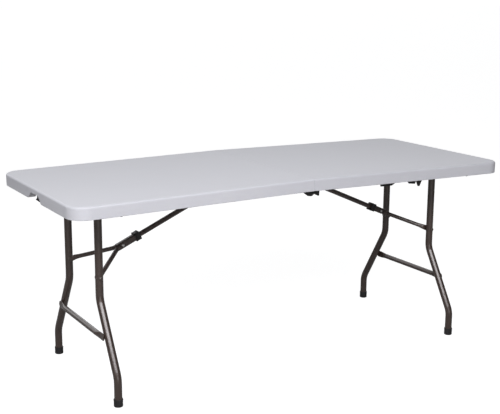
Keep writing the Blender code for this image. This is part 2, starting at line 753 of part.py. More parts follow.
def latch_pin(name, material, parent):
    profile = [
        (0, 0.3430), (0.0050, 0.3430), (0.0065, 0.3440), (0.0065, 0.3460),
        (LATCH_PIN_RADIUS, 0.3460), (LATCH_PIN_RADIUS, 0.3502), (0, 0.3502),
    ]
    return add_object(name, turned(profile, "y", SMALL_SIDES), material, parent, 1, -1)


def latch_stud(name, material, parent):
    profile = [
        (0, 0.3400), (0.0050, 0.3400), (0.0060, 0.3408), (0.0060, 0.3425), (0.0040, 0.3425),
        (0.0040, 0.3502), (0, 0.3502),
    ]
    mesh = turned(profile, "y", SMALL_SIDES, (STUD_X, 0.0, STUD_Z - FOLD_Z))
    return add_object(name, mesh, material, parent, -1, -1)


def build_half(side, frames, materials):
    """Everything fixed to one half of the top."""
    label = SIDE_NAMES[side]
    half = frames[side, "half"]
    top_half(f"top_{label}", materials["moulded_top"], half, side)
    for row, place in ROW_NAMES.items():
        rail(f"rail_{label}_{place}", materials["black_steel"], half, side, row)
        for number, x in enumerate(SCREW_POSITIONS):
            rail_screw(
                f"rail_screw_{label}_{place}_{number + 1}", materials["zinc"], half, side, row, x
            )
        low_y = 0.3475 if side < 0 else 0.3445
        hinge_leaf(
            f"hinge_leaf_{label}_{place}", materials["black_steel"], half, side, row, low_y,
            side > 0,
        )
    cross_member(f"cross_member_{label}", materials["black_steel"], half, side)
    clevis(f"brace_clevis_{label}", materials["black_steel"], half, side)
    headed_pin(
        f"brace_pin_{label}", materials["zinc"], half, side, ANCHOR_PIN_RADIUS, 0.0070,
        0.0071, 0.0026, (ANCHOR_X, 0.0, ANCHOR_Z - FOLD_Z),
    )


def build_leg_frame(side, frames, materials):
    """The axle, two legs, crossbar, feet and brace bolts that fold as one."""
    label = SIDE_NAMES[side]
    leg = frames[side, "leg"]
    axle(f"leg_axle_{label}", materials["coated_steel"], leg, side)
    crossbar(f"crossbar_{label}", materials["coated_steel"], leg, side)
    for row, place in ROW_NAMES.items():
        leg_tube(f"leg_{label}_{place}", materials["coated_steel"], leg, side, row)
        foot_cap(f"foot_cap_{label}_{place}", materials["black_plastic"], leg, side, row)
        leg_bolt(f"leg_bolt_{label}_{place}", materials["coated_steel"], leg, side, row)


def build_brace(side, frames, materials):
    """The upper tube, the knee channel with its yoke, and the lock ring."""
    label = SIDE_NAMES[side]
    knee = frames[side, "knee"]
    brace_tube(f"brace_tube_{label}", materials["coated_steel"], frames[side, "brace"], side)
    knee_channel(f"knee_channel_{label}", materials["coated_steel"], knee, side)
    headed_pin(
        f"knee_rivet_{label}", materials["zinc"], knee, side, KNEE_RIVET_RADIUS, 0.0052,
        0.0118, 0.0024, (0.0, 0.0, 0.0),
    )
    lock_ring(f"lock_ring_{label}", materials["coated_steel"], knee, side)
    for row, place in ROW_NAMES.items():
        yoke_arm(f"yoke_arm_{label}_{place}", materials["coated_steel"], knee, side, row)


def main():
    clear_scene()
    materials = {name: make_material(name, *values) for name, values in PALETTE.items()}
    frames = make_frames()
    for side in SIDE_NAMES:
        build_half(side, frames, materials)
        build_leg_frame(side, frames, materials)
        build_brace(side, frames, materials)
    left, right = frames[-1, "half"], frames[1, "half"]
    for row, place in ROW_NAMES.items():
        hinge_pin(f"hinge_pin_{place}", materials["black_steel"], left, row)
    handle_mount("handle_mount", materials["black_plastic"], left, -1)
    handle_axis = make_empty(
        "handle_axis", (-HANDLE_X, 0.0, HANDLE_Z - FOLD_Z), 0.0, left
    )
    handle_loop("carry_handle", materials["black_plastic"], handle_axis, -1)
    latch_axis = make_empty("latch_axis", (LATCH_X, 0.0, LATCH_Z - FOLD_Z), 0.0, right)
    latch_hook("latch_hook", materials["black_steel"], latch_axis)
    latch_pin("latch_pin", materials["black_steel"], latch_axis)
    latch_stud("latch_stud", materials["zinc"], left)
    bpy.context.view_layer.update()


main()
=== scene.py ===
"""The looks of a fold-in-half moulded table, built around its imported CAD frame."""

import json
import math

import bmesh
import bpy
from mathutils import Matrix, Vector


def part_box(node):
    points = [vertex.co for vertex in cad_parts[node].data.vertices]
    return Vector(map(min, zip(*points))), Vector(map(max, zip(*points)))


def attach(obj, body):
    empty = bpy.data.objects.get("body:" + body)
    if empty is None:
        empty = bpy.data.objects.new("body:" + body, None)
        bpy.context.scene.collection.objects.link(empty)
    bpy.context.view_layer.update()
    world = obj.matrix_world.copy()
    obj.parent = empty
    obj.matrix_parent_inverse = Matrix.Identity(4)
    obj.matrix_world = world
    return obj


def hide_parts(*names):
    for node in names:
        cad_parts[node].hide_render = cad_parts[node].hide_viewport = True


# Camera: it looks at TARGET from an azimuth left of the table's front
TARGET = Vector((-0.0363, 0.0215, 0.5652))
AZIMUTH = math.radians(30.629)
ELEVATION = math.radians(12.479)
DISTANCE = 3.9264
ROLL = math.radians(0.41)
LENS = 71.9
SENSOR = 36.0

# The flat frame of a top half, which the crown then tilts about the fold axis
CROWN = math.radians(0.75)
FOLD_Z = 0.686
TOP_Z = 0.740
UNDERSIDE_Z = 0.722
SKIRT_Z = 0.695
SKIRT_WALL = 0.011
SEAM_GAP = 0.0002
HALF_LENGTH = 0.9142
HALF_WIDTH = 0.370
CORNER_RADIUS = 0.065
SEAM_CORNER_RADIUS = 0.0012
EDGE_ROUND = 0.008
SEAM_ROUND = 0.0007
LIP_ROUND = 0.0018
UNDERSIDE_FILLET = 0.0045
RELIEF_HALF_WIDTH = 0.356
RELIEF_Z = 0.702
RELIEF_CHAMFER = 0.003

# Hand notch in the end skirt, with a steep front flank and a long, soft back one
NOTCH_FRONT = -0.070
NOTCH_FRONT_ROUND = 0.004
NOTCH_FRONT_TOP = -0.047
NOTCH_BACK = 0.075
NOTCH_BACK_ROUND = 0.018
NOTCH_BACK_TOP = 0.038
NOTCH_TOP_ROUND = 0.008
NOTCH_TOP_Z = 0.7205
GRIP_DEPTH = 0.0272
GRIP_EDGE = 0.001
GRIP_ENDS = (-0.086, 0.094)

# Kiss-off pockets in the underside, and their (radius, depth) profile
POCKET_PITCH = 0.046
POCKET_START = 0.045
POCKET_END_MARGIN = 0.10
POCKET_HALF_WIDTH = 0.318
POCKET_SIDES = 24
POCKET_PROFILE = (
    (0.0101, -0.0020), (0.0095, 0.0003), (0.0079, 0.0020), (0.0055, 0.0065), (0.0040, 0.0075),
)

# Tubes
LEG_BEND_RADIUS = 0.075
UPPER_BEND_Z = 0.344
LOWER_BEND_Z = 0.100
WALL = 0.0012
FINE_SIDES = 40
WELD_RADIUS = 0.0019
WELD_DROPS = 24
BAR_RADIUS = 0.0105
BAR_FLAT_HALF = 0.0025
BAR_END_HALF = 0.0140
BAR_TRIM = 0.006

# Knee channel and lock rings, in a frame on the knee: x along the brace towards the legs
CHANNEL_BOTTOM = -0.0102
CHANNEL_TOP = 0.0127
CHANNEL_SHEET = 0.0016
CHANNEL_START = -0.060
CHANNEL_END = 0.022
CHANNEL_SHOULDER = 0.0042
CHANNEL_INNER_SHOULDER = 0.0026
RING_STARTS = {1: -0.060, -1: -0.0745}
RING_LENGTH = 0.022
RING_WALL = 0.0042
RING_GAP = 0.0004

# Yoke arms and upper brace tubes
ARM_RADIUS = 0.008
ARM_BEND_RADIUS = 0.020
ARM_GAP = 0.0003
ARM_START = 0.0080
ARM_FIRST_BEND = 0.0300
ARM_LAST_BEND = 0.0165
ARM_OVERHANG = 0.0105
ARM_KNEE_EYE = 0.0085
ARM_KNEE_PRESS = 0.030
ARM_LEG_EYE = 0.0105
ARM_LEG_PRESS = 0.056
PATH_STEP = 0.0015
FLAT_HALF = 0.002
FLAT_LENGTH = 0.020
BRACE_RADIUS = 0.0095
BRACE_FLAT_HALF = 0.0025
BRACE_EYE = 0.0086
BRACE_FLAT_END = 0.0110
BRACE_PRESS = 0.032

# Carry handle and its mount, in the flat frame
HANDLE_BEND = 0.012
GRIP_SLEEVE = 0.0018
GRIP_GROOVES = 12
LUG_OUTLINE = (
    (-0.008, 0.6910), (0.0360, 0.6910), (0.0380, 0.6928), (0.0120, 0.7055), (-0.008, 0.7055),
)
LUG_START = 0.8866
LUG_END = 0.8962

# CAD nodes that keep their own shape and only have their edges eased
EASED_NODES = (
    "brace_clevis", "cross_member", "handle_mount", "hinge_leaf", "latch_hook", "latch_stud", "rail_",
)
EASED_EDGE = 0.0004

# A curved bank of key lights: azimuth left of the front in degrees, height and power of each
KEY_DISTANCE = 3.7
KEY_PANELS = ((62, 2.3, 34.0), (40, 2.85, 50.0), (18, 3.25, 50.0), (-4, 3.45, 44.0))
KEY_COLOUR = (0.97, 0.967, 1.0)

SIDE_NAMES = {1: "right", -1: "left"}
ROW_NAMES = {1: "back", -1: "front"}

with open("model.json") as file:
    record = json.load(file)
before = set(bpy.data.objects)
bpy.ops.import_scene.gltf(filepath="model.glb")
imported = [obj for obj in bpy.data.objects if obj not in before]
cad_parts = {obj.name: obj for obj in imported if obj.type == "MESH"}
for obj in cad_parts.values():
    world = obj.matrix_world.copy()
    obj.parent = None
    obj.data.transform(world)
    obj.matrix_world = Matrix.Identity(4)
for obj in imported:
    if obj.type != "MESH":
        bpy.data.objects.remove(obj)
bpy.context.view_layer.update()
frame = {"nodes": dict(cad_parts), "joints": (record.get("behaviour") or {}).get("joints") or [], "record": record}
nodes = frame["nodes"]


# Materials


def add_node(material, kind, **values):
    """Adds a shader node to a material or a world, with its inputs and settings by name."""
    node = material.node_tree.nodes.new(kind)
    for name, value in values.items():
        if name in node.inputs:
            node.inputs[name].default_value = value
        else:
            setattr(node, name, value)
    return node


def link(material, source, target):
    material.node_tree.links.new(source, target)


def new_material(name, colour, roughness, metallic=0.0, specular=0.5, coat=0.0, coat_roughness=0.1):
    material = bpy.data.materials.new(name)
    material.use_nodes = True
    shader = material.node_tree.nodes["Principled BSDF"]
    shader.inputs["Base Color"].default_value = (*colour, 1.0)
    shader.inputs["Roughness"].default_value = roughness
    shader.inputs["Metallic"].default_value = metallic
    shader.inputs["Specular IOR Level"].default_value = specular
    shader.inputs["Coat Weight"].default_value = coat
    shader.inputs["Coat Roughness"].default_value = coat_roughness
    material.diffuse_color = (*colour, 1.0)
    return material, shader


def object_point(material, scale=(1.0, 1.0, 1.0)):
    """Object coordinates in metres, stretched by a scale."""
    coordinates = add_node(material, "ShaderNodeTexCoord")
    mapping = add_node(material, "ShaderNodeMapping", Scale=scale)
    link(material, coordinates.outputs["Object"], mapping.inputs["Vector"])
    return mapping.outputs["Vector"]


def noise(material, point, scale, detail=3.0, roughness=0.55):
    node = add_node(
        material, "ShaderNodeTexNoise", Scale=scale, Detail=detail, Roughness=roughness
    )
    link(material, point, node.inputs["Vector"])
    return node.outputs["Fac"]


def remap(material, value, low_in, high_in, low_out, high_out, interpolation="LINEAR"):
    node = add_node(material, "ShaderNodeMapRange", interpolation_type=interpolation)
    link(material, value, node.inputs["Value"])
    for name, number in (
        ("From Min", low_in), ("From Max", high_in), ("To Min", low_out), ("To Max", high_out),
    ):
        node.inputs[name].default_value = number
    return node.outputs["Result"]


def mix_colours(material, factor, first, second):
    node = add_node(material, "ShaderNodeMix", data_type="RGBA")
    link(material, factor, node.inputs["Factor"])
    for socket, colour in ((node.inputs[6], first), (node.inputs[7], second)):
        if isinstance(colour, tuple):
            socket.default_value = (*colour, 1.0)
        else:
            link(material, colour, socket)
    return node.outputs[2]


def math_node(material, operation, first, second):
    node = add_node(material, "ShaderNodeMath", operation=operation)
    for socket, value in zip(node.inputs, (first, second)):
        if isinstance(value, (int, float)):
            socket.default_value = value
        else:
            link(material, value, socket)
    return node.outputs[0]


def camera_sees(material, seen, unseen):
    """Shows one shader to the camera, and another to every other ray."""
    path = add_node(material, "ShaderNodeLightPath")
    mix = add_node(material, "ShaderNodeMixShader")
    link(material, path.outputs["Is Camera Ray"], mix.inputs["Fac"])
    link(material, unseen.outputs[0], mix.inputs[1])
    link(material, seen.outputs[0], mix.inputs[2])
    return mix.outputs["Shader"]


def bump(material, height, strength, distance, below=None):
    node = add_node(material, "ShaderNodeBump", Strength=strength, Distance=distance)
    link(material, height, node.inputs["Height"])
    if below is not None:
        link(material, below, node.inputs["Normal"])
    return node.outputs["Normal"]


def moulded_plastic():
    """Blow-moulded polyethylene: a fine pebbled grain over faint sink marks, slightly cloudy."""
    material, shader = new_material("moulded_plastic", (0.60, 0.605, 0.63), 0.45, specular=0.4)
    point = object_point(material)
    pebbles = add_node(material, "ShaderNodeTexVoronoi", Scale=520.0, feature="SMOOTH_F1")
    pebbles.inputs["Smoothness"].default_value = 0.6
    link(material, point, pebbles.inputs["Vector"])
    grain = noise(material, point, 1400.0, 2.0)
    waves = noise(material, point, 9.0, 2.0, 0.4)
    cloud = noise(material, point, 5.0, 4.0, 0.6)
    scuffs = noise(material, object_point(material, (3.0, 26.0, 26.0)), 6.0, 6.0, 0.7)
    tint = remap(material, cloud, 0.3, 0.7, 0.0, 1.0)
    colour = mix_colours(material, tint, (0.588, 0.590, 0.626), (0.616, 0.617, 0.648))
    worn = remap(material, scuffs, 0.62, 0.78, 0.0, 0.35)
    colour = mix_colours(material, worn, colour, (0.65, 0.652, 0.67))
    link(material, colour, shader.inputs["Base Color"])
    gloss = math_node(
        material, "ADD",
        remap(material, cloud, 0.3, 0.7, 0.40, 0.48),
        remap(material, scuffs, 0.55, 0.80, 0.0, 0.08),
    )
    link(material, gloss, shader.inputs["Roughness"])
    normal = bump(material, waves, 0.25, 0.0012)
    normal = bump(material, pebbles.outputs["Distance"], 0.30, 0.00022, normal)
    normal = bump(material, grain, 0.12, 0.00010, normal)
    link(material, normal, shader.inputs["Normal"])
    return material


def coated_steel(name, dark, light, roughness, coat):
    """Baked powder coat on tube: orange-peel ripples, fleck in the colour, rubbed high spots."""
    material, shader = new_material(
        name, dark, roughness, metallic=0.2, specular=0.5, coat=coat, coat_roughness=0.18
    )
    point = object_point(material)
    peel = noise(material, point, 420.0, 2.0, 0.5)
    fleck = noise(material, point, 1500.0, 2.0, 0.6)
    patches = noise(material, point, 14.0, 5.0, 0.65)
    colour = mix_colours(material, remap(material, fleck, 0.35, 0.70, 0.0, 1.0), dark, light)
    rubbed = remap(material, patches, 0.60, 0.80, 0.0, 0.45)
    pale = tuple(min(1.0, channel * 1.7) for channel in light)
    colour = mix_colours(material, rubbed, colour, pale)
    link(material, colour, shader.inputs["Base Color"])
    gloss = remap(material, patches, 0.3, 0.75, roughness - 0.05, roughness + 0.12)
    link(material, gloss, shader.inputs["Roughness"])
    normal = bump(material, peel, 0.22, 0.0004)
    normal = bump(material, fleck, 0.10, 0.00012, normal)
    link(material, normal, shader.inputs["Normal"])
    return material


def black_plastic():
    """Injection-moulded feet and handle: satin grain with dusty, scuffed patches."""
    material, shader = new_material("black_plastic", (0.02, 0.019, 0.02), 0.5, specular=0.4)
    point = object_point(material)
    grain = noise(material, point, 900.0, 3.0)
    dust = noise(material, point, 30.0, 5.0, 0.65)
    dusty = remap(material, dust, 0.52, 0.78, 0.0, 0.5)
    colour = mix_colours(material, dusty, (0.019, 0.018, 0.019), (0.060, 0.057, 0.055))
    link(material, colour, shader.inputs["Base Color"])
    gloss = remap(material, dust, 0.3, 0.7, 0.42, 0.62)
    link(material, gloss, shader.inputs["Roughness"])
    link(material, bump(material, grain, 0.25, 0.0003), shader.inputs["Normal"])
    return material


def zinc_plate():
    """Bright zinc on rivets, bolts and screws, with turning marks and dull spots."""
    material, shader = new_material("zinc_plate", (0.62, 0.62, 0.61), 0.3, metallic=1.0)
    point = object_point(material)
    marks = noise(material, object_point(material, (1.0, 14.0, 1.0)), 260.0, 3.0)
    spots = noise(material, point, 180.0, 4.0, 0.6)
    dull = remap(material, spots, 0.50, 0.75, 0.0, 0.7)
    colour = mix_colours(material, dull, (0.64, 0.64, 0.63), (0.42, 0.41, 0.38))
    link(material, colour, shader.inputs["Base Color"])
    gloss = remap(material, spots, 0.3, 0.75, 0.22, 0.48)
    link(material, gloss, shader.inputs["Roughness"])
    link(material, bump(material, marks, 0.15, 0.0002), shader.inputs["Normal"])
    return material


MATERIALS = {
    "moulded_top": moulded_plastic(),
    "coated_steel": coated_steel(
        "coated_steel", (0.044, 0.028, 0.022), (0.070, 0.047, 0.038), 0.36, 0.95
    ),
    "black_steel": coated_steel(
        "black_steel", (0.015, 0.014, 0.014), (0.032, 0.030, 0.029), 0.42, 0.15
    ),
    "black_plastic": black_plastic(),
    "zinc": zinc_plate(),
}


def paint_nodes():
    """Gives every CAD node the material of its record slot."""
    for part in frame["record"]["subparts"]:
        node = nodes[part["node"]]
        material = MATERIALS[part["material_slot"]]
        if not node.material_slots:
            node.data.materials.append(material)
        for place in node.material_slots:
            place.material = material


# Mesh helpers


def add_piece(name, mesh, body, slot, replaced, smooth_angle=35.0):
    """Turns a bmesh in world coordinates into a finished piece that stands for CAD nodes."""
    bmesh.ops.recalc_face_normals(mesh, faces=mesh.faces)
    data = bpy.data.meshes.new(name)
    mesh.to_mesh(data)
    mesh.free()
    data.shade_smooth()
    data.set_sharp_from_angle(angle=math.radians(smooth_angle))
    data.materials.append(MATERIALS[slot])
    piece = bpy.data.objects.new(name, data)
    bpy.context.scene.collection.objects.link(piece)
    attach(piece, body)
    if replaced:
        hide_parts(*replaced)
    return piece


def skin_rings(rings, closed=False, mesh=None):
    """Joins rings of equal length into a body, in a given bmesh or a new one; ends are filled."""
    if mesh is None:
        mesh = bmesh.new()
    made = [[mesh.verts.new(point) for point in ring] for ring in rings]
    count = len(made[0])
    pairs = list(zip(made, made[1:]))
    if closed:
        pairs.append((made[-1], made[0]))
    for first, second in pairs:
        for i in range(count):
            j = (i + 1) % count
            mesh.faces.new((first[i], first[j], second[j], second[i]))
    if not closed:
        mesh.faces.new(list(reversed(made[0])))
        mesh.faces.new(made[-1])
    return mesh


def oval(centre, across, upright, half_across, half_upright, sides=FINE_SIDES):
    """Points on an ellipse about a centre, with half axes along two directions."""
    points = []
    for i in range(sides):
        angle = 2 * math.pi * i / sides
        points.append(
            centre
            + across * (half_across * math.cos(angle))
            + upright * (half_upright * math.sin(angle))
        )
    return points


def tube(sections, wall=WALL, lip=0.0004):
    """A drawn tube through (centre, across, upright, half, half) sections, with eased rims."""
    outer = [oval(*section) for section in sections]
    inner = []
    for centre, across, upright, half_across, half_upright in sections:
        inner.append(oval(centre, across, upright, half_across - wall, half_upright - wall))
    rims = []
    for index, neighbour in ((0, 1), (-1, -2)):
        centre, across, upright, half_across, half_upright = sections[index]
        way = (centre - sections[neighbour][0]).normalized()
        outer[index] = oval(centre - way * lip, across, upright, half_across, half_upright)
        rims.append(oval(centre, across, upright, half_across - lip, half_upright - lip))
    return skin_rings([rims[0]] + outer + [rims[1]] + inner[::-1], closed=True)


def turned(profile, centre, axis, sides=48):
    """Spins a (radius, height) profile, from pole to pole, about an axis through a centre."""
    mesh = bmesh.new()
    axis = Vector(axis).normalized()
    across = axis.orthogonal().normalized()
    upright = axis.cross(across)
    rings = []
    for radius, height in profile:
        middle = Vector(centre) + axis * height
        if radius == 0:
            rings.append([mesh.verts.new(middle)])
        else:
            ring = oval(middle, across, upright, radius, radius, sides)
            rings.append([mesh.verts.new(point) for point in ring])
    for first, second in zip(rings, rings[1:]):
        for i in range(sides):
            j = (i + 1) % sides
            corners = [first[i % len(first)], first[j % len(first)],
                       second[j % len(second)], second[i % len(second)]]
            mesh.faces.new(list(dict.fromkeys(corners)))
    return mesh


def arc(centre, radius, start, end, steps):
    """Points on an arc in a plane, with its angles in degrees."""
    points = []
    for step in range(steps + 1):
        angle = math.radians(start + (end - start) * step / steps)
        points.append((centre[0] + radius * math.cos(angle), centre[1] + radius * math.sin(angle)))
    return points


def bent_path(corners, radius, steps=14):
    """Points and directions along straight runs joined by arcs."""
    corners = [Vector(corner) for corner in corners]
    path = [(corners[0], (corners[1] - corners[0]).normalized())]
    for before, corner, after in zip(corners, corners[1:], corners[2:]):
        way_in = (corner - before).normalized()
        way_out = (after - corner).normalized()
        turn = way_in.angle(way_out)
        axis = way_in.cross(way_out).normalized()
        start = corner - way_in * (radius * math.tan(turn / 2))
        hub = start + axis.cross(way_in) * radius
        for step in range(steps + 1):
            spin = Matrix.Rotation(turn * step / steps, 3, axis)
            path.append((hub + spin @ (start - hub), spin @ way_in))
    path.append((corners[-1], (corners[-1] - corners[-2]).normalized()))
    return path


def ease(low, high, share):
    """A smooth step from low to high as share goes from 0 to 1."""
    share = min(1.0, max(0.0, share))
    return low + (high - low) * share * share * (3 - 2 * share)


def cut(piece, name, mesh):
    """Takes a closed bmesh out of a piece and applies the cut to its mesh."""
    bmesh.ops.recalc_face_normals(mesh, faces=mesh.faces)
    data = bpy.data.meshes.new(name)
    mesh.to_mesh(data)
    mesh.free()
    cutter = bpy.data.objects.new(name, data)
    bpy.context.scene.collection.objects.link(cutter)
    modifier = piece.modifiers.new(name, "BOOLEAN")
    modifier.operation = "DIFFERENCE"
    modifier.solver = "EXACT"
    modifier.object = cutter
    graph = bpy.context.evaluated_depsgraph_get()
    result = bpy.data.meshes.new_from_object(piece.evaluated_get(graph))
    piece.modifiers.remove(modifier)
    old = piece.data
    piece.data = result
    bpy.data.meshes.remove(old)
    bpy.data.objects.remove(cutter, do_unlink=True)


# Moulded tops


def placed(side, x, y, z):
    """A point of the right half's flat frame, tilted by the crown, on either half."""
    rise = z - FOLD_Z
    return Vector((
        side * (x * math.cos(CROWN) + rise * math.sin(CROWN)),
        y,
        FOLD_Z + rise * math.cos(CROWN) - x * math.sin(CROWN),
    ))


def seam_x(z):
    """Where the seam face is at a height; it stands upright once the crown tilts the half."""
    return SEAM_GAP - (z - FOLD_Z) * math.tan(CROWN)


def plan_outline(inset, z, seam_inset):
    """The rounded outline of a half at a height, drawn in from its rim and from the seam."""
    low_x = seam_x(z) + seam_inset
    high_x = HALF_LENGTH - inset
    half = HALF_WIDTH - inset
    seam_radius = SEAM_CORNER_RADIUS
    end_radius = max(0.002, CORNER_RADIUS - inset)
    corners = (
        (high_x, half, end_radius, 0, 24), (low_x, half, seam_radius, 90, 3),
        (low_x, -half, seam_radius, 180, 3), (high_x, -half, end_radius, 270, 24),
    )
    points = []
    for x, y, radius, start, steps in corners:
        hub_x = x - math.copysign(radius, x - (low_x + high_x) / 2)
        hub_y = y - math.copysign(radius, y)
        points += arc((hub_x, hub_y), radius, start, start + 90, steps)
    return points


def top_ring(side, inset, z, seam_inset):
    """The outline of a half at a height, in world coordinates."""
    return [placed(side, x, y, z) for x, y in plan_outline(inset, z, seam_inset)]


def prism_between(side, outline, low_x, high_x):
    """A closed bmesh with a (y, z) outline of the flat frame, from one x to another."""
    rings = []
    for x in (low_x, high_x):
        rings.append([placed(side, x, y, z) for y, z in outline])
    return skin_rings(rings)


def notch_flanks():
    """For the front and the back: the flank from the skirt's lip up, and its top corner."""
    hub_z = NOTCH_TOP_Z - NOTCH_TOP_ROUND
    front = arc((NOTCH_FRONT, SKIRT_Z + NOTCH_FRONT_ROUND), NOTCH_FRONT_ROUND, -90, -20, 6)
    front_hub = (NOTCH_FRONT_TOP + NOTCH_TOP_ROUND, hub_z)
    front_corner = arc(front_hub, NOTCH_TOP_ROUND, 150, 90, 6)
    back = arc((NOTCH_BACK, SKIRT_Z + NOTCH_BACK_ROUND), NOTCH_BACK_ROUND, -90, -125, 8)
    back_hub = (NOTCH_BACK_TOP - NOTCH_TOP_ROUND, hub_z)
    back_corner = arc(back_hub, NOTCH_TOP_ROUND, 55, 90, 4)
    return (front, front_corner), (back, back_corner)


def notch_outline():
    """The whole notch, closed below the skirt's lip."""
    low = SKIRT_Z - 0.004
    (front, front_corner), (back, back_corner) = notch_flanks()
    over = front + front_corner + back_corner[::-1] + back[::-1]
    return [(NOTCH_FRONT, low)] + over + [(NOTCH_BACK, low)]


def grip_walls(side):
    """The inner walls that carry the flanks of the hand notch back from the skirt."""
    label = SIDE_NAMES[side]
    inner = HALF_LENGTH - GRIP_DEPTH
    outer = HALF_LENGTH - SKIRT_WALL + 0.0005
    top = UNDERSIDE_Z + 0.0005
    for place, (flank, corner), end in zip(("front", "back"), notch_flanks(), GRIP_ENDS):
        shoulder = flank + corner[:1]
        outline = shoulder + [(shoulder[-1][0], top), (end, top), (end, SKIRT_Z)]
        rings = []
        for x, lift in ((inner, GRIP_EDGE), (inner + GRIP_EDGE, 0.0), (outer, 0.0)):
            rings.append([placed(side, x, y, max(z, SKIRT_Z + lift)) for y, z in outline])
        add_piece(
            f"grip_wall_{label}_{place}", skin_rings(rings), f"{label}_half", "moulded_top", []
        )


def pocket_places():
    """Centres of the pockets, in staggered rows from the seam to the end."""
    row_pitch = POCKET_PITCH * math.sqrt(3) / 2
    row_count = int((HALF_LENGTH - POCKET_END_MARGIN) / row_pitch)
    for row in range(row_count + 1):
        shift = POCKET_PITCH / 2 * (row % 2)
        count = int((POCKET_HALF_WIDTH - shift) / POCKET_PITCH)
        places = {shift + POCKET_PITCH * k for k in range(count + 1)}
        for y in sorted(places | {-place for place in places}):
            yield POCKET_START + row * row_pitch, y


def underside_pockets(side):
    """The round kiss-off pockets that stiffen the underside, as one cutter."""
    mesh = bmesh.new()
    last_angle = 360 - 360 / POCKET_SIDES
    for centre in pocket_places():
        rings = []
        for radius, depth in POCKET_PROFILE:
            circle = arc(centre, radius, 0, last_angle, POCKET_SIDES - 1)
            rings.append([placed(side, x, y, UNDERSIDE_Z + depth) for x, y in circle])
        skin_rings(rings, mesh=mesh)
    return mesh


def moulded_top(side):
    """One half of the top: panel, rounded rim, skirt, hand notch and kiss-off pockets."""
    steps = 10
    fillet = arc((UNDERSIDE_FILLET, -UNDERSIDE_FILLET), UNDERSIDE_FILLET, 90, 180, 5)
    rings = []
    for inward, rise in fillet:
        inset = SKIRT_WALL + inward
        rings.append(top_ring(side, inset, UNDERSIDE_Z + rise, inset))
    for inward, rise in arc((-LIP_ROUND, LIP_ROUND), LIP_ROUND, 0, -90, 4):
        inset = SKIRT_WALL + inward
        rings.append(top_ring(side, inset, SKIRT_Z + rise, inset))
    for inset, rise in arc((LIP_ROUND, LIP_ROUND), LIP_ROUND, 270, 180, 4):
        rings.append(top_ring(side, inset, SKIRT_Z + rise, inset * SEAM_ROUND / EDGE_ROUND))
    for inset, drop in arc((EDGE_ROUND, -EDGE_ROUND), EDGE_ROUND, 180, 90, steps):
        rings.append(top_ring(side, inset, TOP_Z + drop, inset * SEAM_ROUND / EDGE_ROUND))
    label = SIDE_NAMES[side]
    piece = add_piece(
        f"moulded_top_{label}", skin_rings(rings), f"{label}_half", "moulded_top",
        [f"top_{label}"],
    )
    low = SKIRT_Z - 0.02
    half = RELIEF_HALF_WIDTH
    chamfer = RELIEF_CHAMFER
    relief = [
        (-half, low), (half, low), (half, RELIEF_Z - chamfer), (half - chamfer, RELIEF_Z),
        (-half + chamfer, RELIEF_Z), (-half, RELIEF_Z - chamfer),
    ]
    cut(piece, "seam_relief", prism_between(side, relief, -0.01, SKIRT_WALL + 0.001))
    notch_start = HALF_LENGTH - SKIRT_WALL - 0.010
    cut(piece, "notch", prism_between(side, notch_outline(), notch_start, HALF_LENGTH + 0.02))
    cut(piece, "pockets", underside_pockets(side))
    piece.data.shade_smooth()
    piece.data.set_sharp_from_angle(angle=math.radians(38))
    normals = piece.modifiers.new("face_normals", "WEIGHTED_NORMAL")
    normals.keep_sharp = True
    normals.weight = 100


# Leg frames


def weld_bead(loop, radius, sides=8):
    """A closed bead along a loop of points, rippled like the stacked drops of a weld."""
    count = len(loop)
    rings = []
    across = Vector((0.0, 0.0, 1.0))
    for i, point in enumerate(loop):
        way = (loop[(i + 1) % count] - loop[i - 1]).normalized()
        across = (across - way * across.dot(way)).normalized()
        swell = radius * (0.86 + 0.14 * math.cos(2 * math.pi * i * WELD_DROPS / count))
        rings.append(oval(point, across, way.cross(across), swell, swell, sides))
    return skin_rings(rings, closed=True)


def leg(side, row):
    """A bent leg tube, run up into its axle, with the weld that joins them."""
    name = f"leg_{SIDE_NAMES[side]}_{ROW_NAMES[row]}"
    low, high = (Vector(corner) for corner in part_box(name))
    radius = (high.x - low.x) / 2
    x = (low.x + high.x) / 2
    near, far = sorted((abs(low.y), abs(high.y)))
    top_y, foot_y = row * (near + radius), row * (far - radius)
    corners = [
        (x, top_y, high.z + 0.004), (x, top_y, UPPER_BEND_Z), (x, foot_y, LOWER_BEND_Z),
        (x, foot_y, low.z + 0.0004),
    ]
    sideways = Vector((1.0, 0.0, 0.0))
    sections = []
    for point, way in bent_path(corners, LEG_BEND_RADIUS):
        sections.append((point, sideways, way.cross(sideways), radius, radius))
    body = f"{SIDE_NAMES[side]}_leg_frame"
    add_piece(f"{name}_tube", tube(sections), body, "coated_steel", [name])
    axle_low, axle_high = (Vector(corner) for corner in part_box(f"leg_axle_{SIDE_NAMES[side]}"))
    axle_radius = (axle_high.z - axle_low.z) / 2
    axle_z = (axle_low.z + axle_high.z) / 2
    seam = []
    steps = 3 * WELD_DROPS
    for i in range(steps):
        angle = 2 * math.pi * i / steps
        out = axle_radius * 0.97 * math.cos(angle)
        seam.append(Vector((
            x + out, top_y + (radius + 0.0004) * math.sin(angle),
            axle_z - math.sqrt(axle_radius ** 2 - out ** 2),
        )))
    add_piece(f"{name}_axle_weld", weld_bead(seam, WELD_RADIUS), body, "coated_steel", [])


